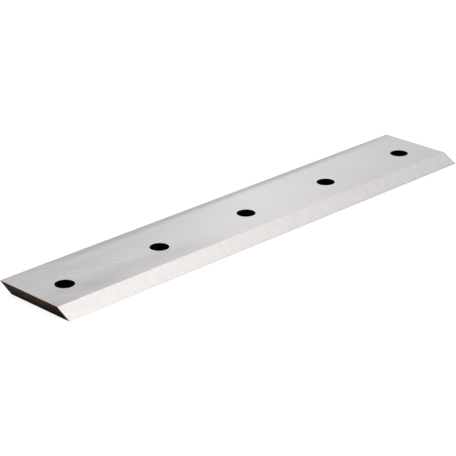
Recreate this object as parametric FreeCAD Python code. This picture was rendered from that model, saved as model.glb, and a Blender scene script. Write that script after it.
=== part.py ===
import FreeCAD, Part
import math
import os

# Reversible chipper shredder blade, all sizes in millimetres and degrees.
# One flat plate of tool steel, ground on its faces, with a cutting edge on each long side.
# Its section is a parallelogram, so that turned half a turn about its length it is itself again.
# X runs along the blade, Y across it to the back edge, Z up. It lies flat with its underside at zero.

# Plate
LENGTH = 381.0
WIDTH = 69.85  # from one cutting edge to the other
THICKNESS = 6.35

# Cutting edges: the long bevel on one face, and the shallow back hone that meets it on the other
BEVEL_ANGLE = 28.0
HONE_ANGLE = 2.0
HONE_WIDTH = 5.0

# Bolt holes, in one row on the centre line
HOLE_COUNT = 5
HOLE_DIAMETER = 13.1
HOLE_DEBURR = 0.2
END_MARGIN = 25.4  # from the centre of the last hole to the end of the blade

# How far a cutter runs past the faces that it cuts
CUTTER_OVERRUN = 1.0

# Worked out from the sizes above
HONE_DROP = HONE_WIDTH * math.tan(math.radians(HONE_ANGLE))
BEVEL_RUN = (THICKNESS - HONE_DROP) / math.tan(math.radians(BEVEL_ANGLE))
HOLE_PITCH = (LENGTH - 2 * END_MARGIN) / (HOLE_COUNT - 1)


def blade_section():
    """The section across the blade, at its left end: the front edge, and the same turned over for the back."""
    front_edge = [
        (-WIDTH / 2 + HONE_WIDTH, 0.0),  # where the hone leaves the underside
        (-WIDTH / 2, HONE_DROP),  # the cutting edge
        (-WIDTH / 2 + BEVEL_RUN, THICKNESS),  # where the bevel reaches the top face
    ]
    back_edge = [(-y, THICKNESS - z) for y, z in front_edge]
    corners = [FreeCAD.Vector(-LENGTH / 2, y, z) for y, z in front_edge + back_edge]
    return Part.Face(Part.makePolygon(corners + corners[:1]))


def hole_cutter(x):
    """A turned cutter for one bolt hole, flared at both faces to break the hole's sharp rims."""
    radius = HOLE_DIAMETER / 2
    flare = radius + HOLE_DEBURR + CUTTER_OVERRUN
    below = -CUTTER_OVERRUN
    above = THICKNESS + CUTTER_OVERRUN
    outline = [
        (0.0, below),
        (flare, below),
        (radius, HOLE_DEBURR),
        (radius, THICKNESS - HOLE_DEBURR),
        (flare, above),
        (0.0, above),
    ]
    corners = [FreeCAD.Vector(x + r, 0.0, z) for r, z in outline]
    profile = Part.Face(Part.makePolygon(corners + corners[:1]))
    return profile.revolve(FreeCAD.Vector(x, 0.0, 0.0), FreeCAD.Vector(0.0, 0.0, 1.0), 360.0)


def blade():
    """The ground plate with its row of bolt holes."""
    plate = blade_section().extrude(FreeCAD.Vector(LENGTH, 0.0, 0.0))
    first_hole = -LENGTH / 2 + END_MARGIN
    cutters = [hole_cutter(first_hole + i * HOLE_PITCH) for i in range(HOLE_COUNT)]
    return plate.cut(cutters)


os.makedirs("parts", exist_ok=True)
knife = blade()
solid = knife.Solids[0]
solid.exportStep("parts/blade.step")
box = solid.BoundBox
print("solids %d, valid %s" % (len(knife.Solids), solid.isValid()))
print("size %.2f x %.2f x %.2f mm" % (box.XLength, box.YLength, box.ZLength))
print("volume %.1f cubic centimetres" % (solid.Volume / 1000.0))
print("hole pitch %.2f mm, bevel run %.2f mm" % (HOLE_PITCH, BEVEL_RUN))
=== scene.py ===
import math

import bpy
from mathutils import Matrix, Vector


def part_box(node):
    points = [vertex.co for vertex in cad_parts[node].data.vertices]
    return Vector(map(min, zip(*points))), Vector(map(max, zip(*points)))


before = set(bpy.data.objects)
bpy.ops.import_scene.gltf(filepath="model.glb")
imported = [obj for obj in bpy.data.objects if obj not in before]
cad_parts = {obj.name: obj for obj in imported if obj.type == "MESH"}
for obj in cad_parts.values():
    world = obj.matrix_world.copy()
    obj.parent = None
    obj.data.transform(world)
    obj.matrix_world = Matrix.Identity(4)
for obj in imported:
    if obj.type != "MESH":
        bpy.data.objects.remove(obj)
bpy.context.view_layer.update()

# Reversible chipper shredder blade of ground tool steel, lying in a white studio.
# Sizes are in millimetres unless they say otherwise.
MM = 0.001  # a millimetre in Blender's metres
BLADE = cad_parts["blade"]
LOW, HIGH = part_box("blade")
LENGTH = (HIGH.x - LOW.x) / MM
WIDTH = (HIGH.y - LOW.y) / MM
THICKNESS = (HIGH.z - LOW.z) / MM
BEVEL_ANGLE = math.radians(28.0)
HONE_WIDTH = 5.0

# How level a surface is, by the upright part of its normal: flat faces and hones are above the first
# of these, bevels between the two, and ends and holes below the second
FLAT_ABOVE = 0.97
STEEP_BELOW = 0.8
END_REACH = 0.1  # a steep surface as near as this to an end of the blade is the end itself

# Grinding marks: arcs about a far point on the flat faces, and strokes across the bevels, which lean
# from square to the edge
GRIND_CENTRE = (-275.0, -315.0, 0.0)
GRIND_RADIUS = math.hypot(GRIND_CENTRE[0], GRIND_CENTRE[1])
STROKE_LEAN = math.radians(15.0)
STROKE_SLICE = 7.0  # which slice of the noise the strokes are cut from

# Width, length and detail of each size of mark
FINE_ARCS = (0.35, 30.0, 2.0)
RELIEF_ARCS = (0.8, 45.0, 2.0)
MIDDLE_ARCS = (1.8, 20.0, 3.0)
BROAD_ARCS = (5.0, 40.0, 2.0)
FINE_STROKES = (0.4, 8.0, 2.0)
RELIEF_STROKES = (0.7, 14.0, 2.0)
MIDDLE_STROKES = (1.1, 6.0, 3.0)
BROAD_STROKES = (3.5, 10.0, 3.0)

# How much lighter and darker than the steel the marks are
FINE_CONTRAST = 0.03
MIDDLE_ARC_CONTRAST = 0.031
BROAD_ARC_CONTRAST = 0.022
MIDDLE_STROKE_CONTRAST = 0.036
BROAD_STROKE_CONTRAST = 0.05
NOISE_RANGE = (0.25, 0.75)  # where nearly all of a noise lies

# Going left, the arcs grow stronger between two places along the blade, to this many times
STRONGER_BETWEEN = (-50.0, -130.0)
STRONGER_BY = 2.3

# Painted highlight and painted shade in soft patches: x, y, half length, half width, lean in degrees,
# how much lighter
PAINTED_REFLECTION_PATCHES = (
    (-210, -20, 130, 26, 10, -0.14),
    (-166, 19, 60, 16, 0, -0.055),
    (-130, 0, 95, 16, 8, 0.06),
    (-125, -12, 75, 12, -3, -0.065),
    (-175, -16, 25, 8, -10, 0.055),
    (-68, -17, 50, 18, -10, -0.085),
    (-25, 0, 35, 10, 0, 0.02),
    (25, 14, 60, 30, 35, 0.04),
    (75, -16, 32, 10, 0, -0.035),
    (82, 34, 36, 8, 0, -0.06),
    (155, 10, 65, 43, -20, 0.035),
)

# Bare steel
FACE_STEEL = (0.608, 0.589, 0.601)
BEVEL_STEEL = (0.600, 0.597, 0.600)
FACE_ROUGHNESS = 0.30
BEVEL_ROUGHNESS = 0.34
ROUGHNESS_SPREAD = 0.03
ANISOTROPY = 0.5
SPECULAR_LEVEL = 0.05  # for the scale on the ends, which isn't metallic

# The hone along the flat face's cutting edge: finer, and darkened with painted shade, fainter towards
# the blade's ends
HONE_STEEL_IN_PAINTED_SHADE = (0.444, 0.432, 0.440)
HONE_ROUGHNESS = 0.14
HONE_SHADE_FADE = (1.8, 9.4)  # from the cutting edge
HONE_SHADE_FADE_LEFT = (-190.0, -110.0)
HONE_SHADE_FADE_RIGHT = (190.0, 150.0)
HONE_SHADE_AT_ENDS = 0.5

# The rim of the left end, tinted by the heat of cutting off
BURNT_STEEL = (0.600, 0.540, 0.510)
BURNT_WIDTH = 1.8

# At the left end and at the right: how strong the bevel's strokes are, and how dark the painted shadow
# at its cutting edge
STROKE_STRENGTHS = (0.75, 1.1)
EDGE_PAINTED_SHADOW = (-0.015, -0.11)
EDGE_SHADOW_FADE = (0.4, 2.2)  # the painted shadow at the edge fades between these distances up the bevel

# Scale left by hardening, on the ends and inside the holes, where painted shade darkens it to near
# black.
# On an end its spots go between two colours, which change from low to high.
LOW_SCALE = ((0.005, 0.004, 0.0037), (0.014, 0.0098, 0.0084))
HIGH_SCALE = ((0.040, 0.022, 0.016), (0.080, 0.045, 0.035))
HOLE_SCALE_AND_PAINTED_SHADE = (0.0018, 0.0018, 0.0018)
SCALE_ROUGHNESS = 0.7
SCALE_SPOTS = (0.45, 4.0, 0.6)  # spots to the millimetre, detail and roughness of the noise
SPOT_RANGE = (0.35, 0.7)
SCALE_HEIGHTS = (0.1, 0.95)  # where low turns to high, as parts of the thickness
SCALE_FRONT = (-6.0, -20.0)  # between these places across the blade an end darkens towards the front
SCALE_FRONT_TONE = 0.55

BUMP_STRENGTH = 0.05
BUMP_DEPTH = 0.02

# Studio
SKY_AT_HORIZON = 0.985
SKY_OVERHEAD = 0.69
FLOOR_SIZE = 12.0  # metres
FLOOR_COLOUR = 0.8
FLOOR_SHADE = 0.3  # how much of the light that falls on the floor is seen there, so that a shadow shows
FLOOR_GLOW = 0.78  # what the floor shows besides, so that it is white where nothing shades it

# Square lamps: azimuth from +X towards +Y and elevation in degrees, distance and side in metres, level
# and colour
LAMPS = {
    "back_softbox": (44.2, 27.5, 2.96, 0.39, 1.13, (1.0, 1.0, 1.0)),
    "side_softbox": (0.0, 61.8, 1.8, 0.74, 1.42, (1.0, 0.90, 0.857)),
}

# Camera: it looks along HEADING, from +Y towards +X, and down by PITCH, at AIM on the floor
HEADING = math.radians(44.228)
PITCH = math.radians(22.887)
ROLL = math.radians(-0.806)
AIM = Vector((-17.21, 0.706, 0.0)) * MM
DISTANCE = 1240.28 * MM
LENS = 140.274
SENSOR = 36.0

# Where the Mix node keeps its two inputs and its result, by what it mixes
MIX_SOCKETS = {"FLOAT": (2, 3, 0), "VECTOR": (4, 5, 1), "RGBA": (6, 7, 2)}

LEVEL_PART = (1.0, 1.0, 0.0)  # leaves out the height of a place
ALONG_BLADE = (1.0, 0.0, 0.0)


def rgb(colour):
    """The colour with the alpha that a node's socket wants."""
    return (*colour, 1.0)


class Nodes:
    """Short calls that build a node tree. Most of them return the socket that carries their result."""

    def __init__(self, tree):
        self.tree = tree
        tree.nodes.clear()

    def add(self, kind, **settings):
        node = self.tree.nodes.new(kind)
        for name, value in settings.items():
            setattr(node, name, value)
        return node

    def feed(self, socket, value):
        """Links the value to the socket where it is a socket itself, and otherwise sets it."""
        if isinstance(value, bpy.types.NodeSocket):
            self.tree.links.new(value, socket)
        else:
            socket.default_value = value

    def math(self, operation, a, b=0.0):
        node = self.add("ShaderNodeMath", operation=operation)
        self.feed(node.inputs[0], a)
        self.feed(node.inputs[1], b)
        return node.outputs[0]

    def product(self, *values):
        result = values[0]
        for value in values[1:]:
            result = self.math("MULTIPLY", result, value)
        return result

    def sum(self, *values):
        result = values[0]
        for value in values[1:]:
            result = self.math("ADD", result, value)
        return result

    def vector(self, operation, a, b=(0.0, 0.0, 0.0)):
        node = self.add("ShaderNodeVectorMath", operation=operation)
        self.feed(node.inputs[0], a)
        self.feed(node.inputs[1], b)
        return node.outputs["Value" if operation == "LENGTH" else "Vector"]

    def scaled(self, vector, factor):
        result = self.vector("SCALE", vector)
        result.node.inputs["Scale"].default_value = factor
        return result

    def split(self, vector):
        node = self.add("ShaderNodeSeparateXYZ")
        self.feed(node.inputs[0], vector)
        return node.outputs

    def join(self, x, y, z):
        node = self.add("ShaderNodeCombineXYZ")
        for socket, value in zip(node.inputs, (x, y, z)):
            self.feed(socket, value)
        return node.outputs[0]

    def grey(self, value):
        return self.join(value, value, value)

    def noise(self, vector, detail, roughness=0.5):
        node = self.add("ShaderNodeTexNoise")
        self.feed(node.inputs["Vector"], vector)
        node.inputs["Scale"].default_value = 1.0
        node.inputs["Detail"].default_value = detail
        node.inputs["Roughness"].default_value = roughness
        return node.outputs["Fac"]

    def ramp(self, value, start, end, low=0.0, high=1.0, smooth=True):
        """Goes from low, where value is start, to high, where it is end, and stays level beyond them."""
        node = self.add("ShaderNodeMapRange", interpolation_type="SMOOTHSTEP" if smooth else "LINEAR")
        for socket, given in zip(node.inputs, (value, start, end, low, high)):
            self.feed(socket, given)
        return node.outputs[0]

    def mix(self, factor, a, b, kind="FLOAT"):
        """Goes from a, where factor is 0, to b, where it is 1."""
        first, second, result = MIX_SOCKETS[kind]
        node = self.add("ShaderNodeMix", data_type=kind)
        self.feed(node.inputs["Factor"], factor)
        self.feed(node.inputs[first], a)
        self.feed(node.inputs[second], b)
        return node.outputs[result]

    def mix_vector(self, factor, a, b):
        return self.mix(factor, a, b, "VECTOR")

    def mix_colour(self, factor, a, b):
        return self.mix(factor, a, b, "RGBA")


class Regions:
    """Where each surface of the blade is, worked out from a point's place and the way its face looks."""

    def __init__(self, n):
        self.place = n.scaled(n.add("ShaderNodeTexCoord").outputs["Object"], 1.0 / MM)
        self.x, self.y, self.z = n.split(self.place)
        normal = n.split(n.add("ShaderNodeNewGeometry").outputs["True Normal"])
        side = n.math("SIGN", normal[2])  # up on the top face and the front bevel, down on the others
        across = n.product(self.y, side)  # towards the honed edge of the face that this point is on
        flatness = n.math("ABSOLUTE", normal[2])
        steep = n.math("LESS_THAN", flatness, STEEP_BELOW)
        from_end = n.math("SUBTRACT", LENGTH / 2, n.math("ABSOLUTE", self.x))
        self.from_left = n.math("ADD", LENGTH / 2, self.x)
        self.from_hone = n.math("SUBTRACT", WIDTH / 2, across)
        self.up_bevel = n.math("DIVIDE", n.math("ADD", WIDTH / 2, across), math.cos(BEVEL_ANGLE))
        self.flat = n.math("GREATER_THAN", flatness, FLAT_ABOVE)
        self.end = n.product(n.math("LESS_THAN", from_end, END_REACH), steep)
        self.hole = n.math("SUBTRACT", steep, self.end)
        self.bevel = n.math("SUBTRACT", n.math("SUBTRACT", 1.0, steep), self.flat)


class Marks:
    """Patterns of grinding marks, from 0 to 1: arcs for the flat faces and strokes for the bevels."""

    def __init__(self, n, at):
        self.n = n
        self.at = at
        from_centre = n.vector("MULTIPLY", n.vector("SUBTRACT", at.place, GRIND_CENTRE), LEVEL_PART)
        self.radius = n.vector("LENGTH", from_centre)
        self.outward = n.vector("NORMALIZE", from_centre)
        upright, lean = math.cos(STROKE_LEAN), math.sin(STROKE_LEAN)
        self.beside = n.math("SUBTRACT", n.product(at.x, upright), n.product(at.up_bevel, lean))
        self.along = n.math("ADD", n.product(at.x, lean), n.product(at.up_bevel, upright))

    def arcs(self, width, length, detail):
        n = self.n
        turn = n.split(n.scaled(self.outward, GRIND_RADIUS / length))
        return n.noise(n.join(n.math("DIVIDE", self.radius, width), turn[0], turn[1]), detail)

    def strokes(self, width, length, detail):
        n = self.n
        beside = n.math("DIVIDE", self.beside, width)
        along = n.math("DIVIDE", self.along, length)
        return n.noise(n.join(beside, along, STROKE_SLICE), detail)

    def either(self, arcs, strokes):
        """Strokes on the bevels and arcs everywhere else."""
        return self.n.mix(self.at.bevel, self.arcs(*arcs), self.strokes(*strokes))


def spread(n, pattern, amount):
    """Turns a pattern into a change of up to amount either way."""
    return n.ramp(pattern, *NOISE_RANGE, -amount, amount, smooth=False)


def painted_reflection_patch(n, place, x, y, half_length, half_width, lean, amount):
    """A soft oval of painted highlight on the ground steel, lighter by amount at its middle, or of
    painted shade, darker, if amount is negative.
    """
    node = n.add("ShaderNodeMapping", vector_type="TEXTURE")
    n.feed(node.inputs["Vector"], place)
    node.inputs["Location"].default_value = (x, y, 0.0)
    node.inputs["Rotation"].default_value = (0.0, 0.0, math.radians(lean))
    node.inputs["Scale"].default_value = (half_length, half_width, LENGTH)
    return n.ramp(n.vector("LENGTH", node.outputs[0]), 0.0, 1.0, amount, 0.0)


def bare_steel(n, at, marks, fine):
    """Ground steel's colour: its marks, burnt left rim, painted highlight and shade, and painted shade
    at hone and cutting edge.
    """
    strength = n.ramp(at.x, *STRONGER_BETWEEN, 1.0, STRONGER_BY)
    on_face = n.sum(
        1.0,
        spread(n, fine, FINE_CONTRAST),
        n.product(spread(n, marks.arcs(*MIDDLE_ARCS), MIDDLE_ARC_CONTRAST), strength),
        n.product(spread(n, marks.arcs(*BROAD_ARCS), BROAD_ARC_CONTRAST), strength),
        # painted highlight and painted shade in soft patches
        *[painted_reflection_patch(n, at.place, *given) for given in PAINTED_REFLECTION_PATCHES],
    )
    middle = spread(n, marks.strokes(*MIDDLE_STROKES), MIDDLE_STROKE_CONTRAST)
    broad = spread(n, marks.strokes(*BROAD_STROKES), BROAD_STROKE_CONTRAST)
    along = n.ramp(at.from_left, 0.0, LENGTH, smooth=False)
    on_bevel = n.sum(
        1.0,
        spread(n, fine, FINE_CONTRAST),
        n.product(n.sum(middle, broad), n.mix(along, *STROKE_STRENGTHS)),
        # painted shadow along the bevel's cutting edge, deeper towards the right
        n.product(n.ramp(at.up_bevel, *EDGE_SHADOW_FADE, 1.0, 0.0), n.mix(along, *EDGE_PAINTED_SHADOW)),
    )
    # painted shade on the hone and the flat face beside it, fainter towards the ends
    hone_shade = n.product(
        at.flat,
        n.ramp(at.from_hone, *HONE_SHADE_FADE, 1.0, 0.0),
        n.ramp(at.x, *HONE_SHADE_FADE_LEFT, HONE_SHADE_AT_ENDS, 1.0),
        n.ramp(at.x, *HONE_SHADE_FADE_RIGHT, HONE_SHADE_AT_ENDS, 1.0),
    )
    burnt = n.product(at.flat, n.ramp(at.from_left, 0.0, BURNT_WIDTH, 1.0, 0.0))
    steel = n.mix_colour(at.bevel, rgb(FACE_STEEL), rgb(BEVEL_STEEL))
    steel = n.mix_colour(hone_shade, steel, rgb(HONE_STEEL_IN_PAINTED_SHADE))
    steel = n.mix_colour(burnt, steel, rgb(BURNT_STEEL))
    return n.vector("MULTIPLY", steel, n.grey(n.mix(at.bevel, on_face, on_bevel)))


def end_scale(n, at, spots):
    """The colour of the scale on the blade's ends, darker near the underside and towards the front."""
    low = n.mix_colour(spots, *map(rgb, LOW_SCALE))
    high = n.mix_colour(spots, *map(rgb, HIGH_SCALE))
    height = n.ramp(n.math("DIVIDE", at.z, THICKNESS), *SCALE_HEIGHTS, smooth=False)
    tone = n.ramp(at.y, *SCALE_FRONT, 1.0, SCALE_FRONT_TONE)
    return n.vector("MULTIPLY", n.mix_colour(height, low, high), n.grey(tone))


def steel_material():
    """Ground tool steel, with scale on the ends, and scale darkened by painted shade inside the holes.
    """
    material = bpy.data.materials.new("ground_tool_steel")
    material.use_nodes = True
    n = Nodes(material.node_tree)
    at = Regions(n)
    marks = Marks(n, at)
    fine = marks.either(FINE_ARCS, FINE_STROKES)
    relief = marks.either(RELIEF_ARCS, RELIEF_STROKES)
    spot_scale, spot_detail, spot_roughness = SCALE_SPOTS
    crust = n.noise(n.scaled(at.place, spot_scale), spot_detail, spot_roughness)
    scaled = n.math("MAXIMUM", at.end, at.hole)

    spots = n.ramp(crust, *SPOT_RANGE)
    colour = n.mix_colour(at.end, bare_steel(n, at, marks, fine), end_scale(n, at, spots))
    # painted shade: the scale inside the holes made near black
    colour = n.mix_colour(at.hole, colour, rgb(HOLE_SCALE_AND_PAINTED_SHADE))
    honed = n.product(at.flat, n.math("LESS_THAN", at.from_hone, HONE_WIDTH))
    roughness = n.math("ADD", FACE_ROUGHNESS, spread(n, fine, ROUGHNESS_SPREAD))
    roughness = n.mix(at.bevel, roughness, BEVEL_ROUGHNESS)
    roughness = n.mix(honed, roughness, HONE_ROUGHNESS)
    roughness = n.mix(scaled, roughness, SCALE_ROUGHNESS)

    shader = n.add("ShaderNodeBsdfPrincipled")
    n.feed(shader.inputs["Base Color"], colour)
    n.feed(shader.inputs["Metallic"], n.math("SUBTRACT", 1.0, at.end))
    n.feed(shader.inputs["Roughness"], roughness)
    n.feed(shader.inputs["Tangent"], n.mix_vector(at.bevel, marks.outward, ALONG_BLADE))
    shader.inputs["Anisotropic"].default_value = ANISOTROPY
    shader.inputs["Specular IOR Level"].default_value = SPECULAR_LEVEL

    bump = n.add("ShaderNodeBump")
    bump.inputs["Strength"].default_value = BUMP_STRENGTH
    bump.inputs["Distance"].default_value = BUMP_DEPTH * MM
    n.feed(bump.inputs["Height"], n.mix(scaled, relief, crust))
    n.feed(shader.inputs["Normal"], bump.outputs[0])
    output = n.add("ShaderNodeOutputMaterial")
    n.feed(output.inputs["Surface"], shader.outputs[0])
    return material


def floor_material():
    """White to the eye and to what reflects it, with the blade's shadow kept."""
    material = bpy.data.materials.new("pale_floor")
    material.use_nodes = True
    n = Nodes(material.node_tree)
    plain = n.add("ShaderNodeBsdfDiffuse")
    plain.inputs["Color"].default_value = rgb([FLOOR_COLOUR] * 3)
    shaded = n.add("ShaderNodeBsdfDiffuse")
    shaded.inputs["Color"].default_value = rgb([FLOOR_SHADE] * 3)
    white = n.add("ShaderNodeEmission")
    white.inputs["Strength"].default_value = FLOOR_GLOW
    seen = n.add("ShaderNodeAddShader")
    n.feed(seen.inputs[0], shaded.outputs[0])
    n.feed(seen.inputs[1], white.outputs[0])
    path = n.add("ShaderNodeLightPath").outputs
    direct = n.math("MAXIMUM", path["Is Camera Ray"], path["Is Glossy Ray"])
    direct = n.math("MAXIMUM", direct, path["Is Transmission Ray"])
    choice = n.add("ShaderNodeMixShader")
    n.feed(choice.inputs[0], direct)
    n.feed(choice.inputs[1], plain.outputs[0])
    n.feed(choice.inputs[2], seen.outputs[0])
    output = n.add("ShaderNodeOutputMaterial")
    n.feed(output.inputs["Surface"], choice.outputs[0])
    return material


def make_floor():
    """A square floor about the blade, at the height that its underside lies on."""
    mesh = bpy.data.meshes.new("floor")
    half = FLOOR_SIZE / 2
    corners = [(-half, -half, 0.0), (half, -half, 0.0), (half, half, 0.0), (-half, half, 0.0)]
    mesh.from_pydata(corners, [], [(0, 1, 2, 3)])
    floor = bpy.data.objects.new("floor", mesh)
    floor.data.materials.append(floor_material())
    bpy.context.scene.collection.objects.link(floor)


def make_world():
    """An even pale sky, a little greyer overhead than at the horizon, and white to the camera."""
    world = bpy.data.worlds.new("studio")
    world.use_nodes = True
    bpy.context.scene.world = world
    n = Nodes(world.node_tree)
    up = n.split(n.add("ShaderNodeTexCoord").outputs["Generated"])[2]
    level = n.ramp(n.math("ARCSINE", up), 0.0, math.pi / 2, SKY_AT_HORIZON, SKY_OVERHEAD, smooth=False)
    level = n.mix(n.add("ShaderNodeLightPath").outputs["Is Camera Ray"], level, 1.0)
    background = n.add("ShaderNodeBackground")
    n.feed(background.inputs["Color"], n.grey(level))
    output = n.add("ShaderNodeOutputWorld")
    n.feed(output.inputs["Surface"], background.outputs[0])


def make_lamp(name, azimuth, elevation, distance, side, level, colour):
    """A square lamp that faces the blade. Its level is how bright its surface looks."""
    lamp = bpy.data.lights.new(name, "AREA")
    lamp.shape = "SQUARE"
    lamp.size = side
    lamp.energy = level * math.pi * side ** 2
    lamp.color = colour
    a, e = math.radians(azimuth), math.radians(elevation)
    towards = Vector((math.cos(a) * math.cos(e), math.sin(a) * math.cos(e), math.sin(e)))
    piece = bpy.data.objects.new(name, lamp)
    piece.location = towards * distance
    piece.rotation_mode = "QUATERNION"
    piece.rotation_quaternion = towards.to_track_quat("Z", "Y")
    piece.visible_camera = False
    bpy.context.scene.collection.objects.link(piece)


def make_camera():
    """The camera at the photo's angle, turned by ROLL about the way it looks."""
    camera = bpy.data.cameras.new("camera")
    camera.sensor_width = SENSOR
    camera.lens = LENS
    forward, down = math.cos(PITCH), math.sin(PITCH)
    ahead = Vector((math.sin(HEADING) * forward, math.cos(HEADING) * forward, -down))
    level = Vector((math.cos(HEADING), -math.sin(HEADING), 0.0))
    upright = level.cross(ahead)
    right = level * math.cos(ROLL) + upright * math.sin(ROLL)
    up = upright * math.cos(ROLL) - level * math.sin(ROLL)
    piece = bpy.data.objects.new("camera", camera)
    turn = Matrix((right, up, -ahead)).transposed()
    piece.matrix_world = Matrix.Translation(AIM - ahead * DISTANCE) @ turn.to_4x4()
    bpy.context.scene.collection.objects.link(piece)
    bpy.context.scene.camera = piece


BLADE.material_slots[0].material = steel_material()
make_floor()
make_world()
for name, given in LAMPS.items():
    make_lamp(name, *given)
make_camera()
bpy.context.scene.view_settings.view_transform = "Standard"
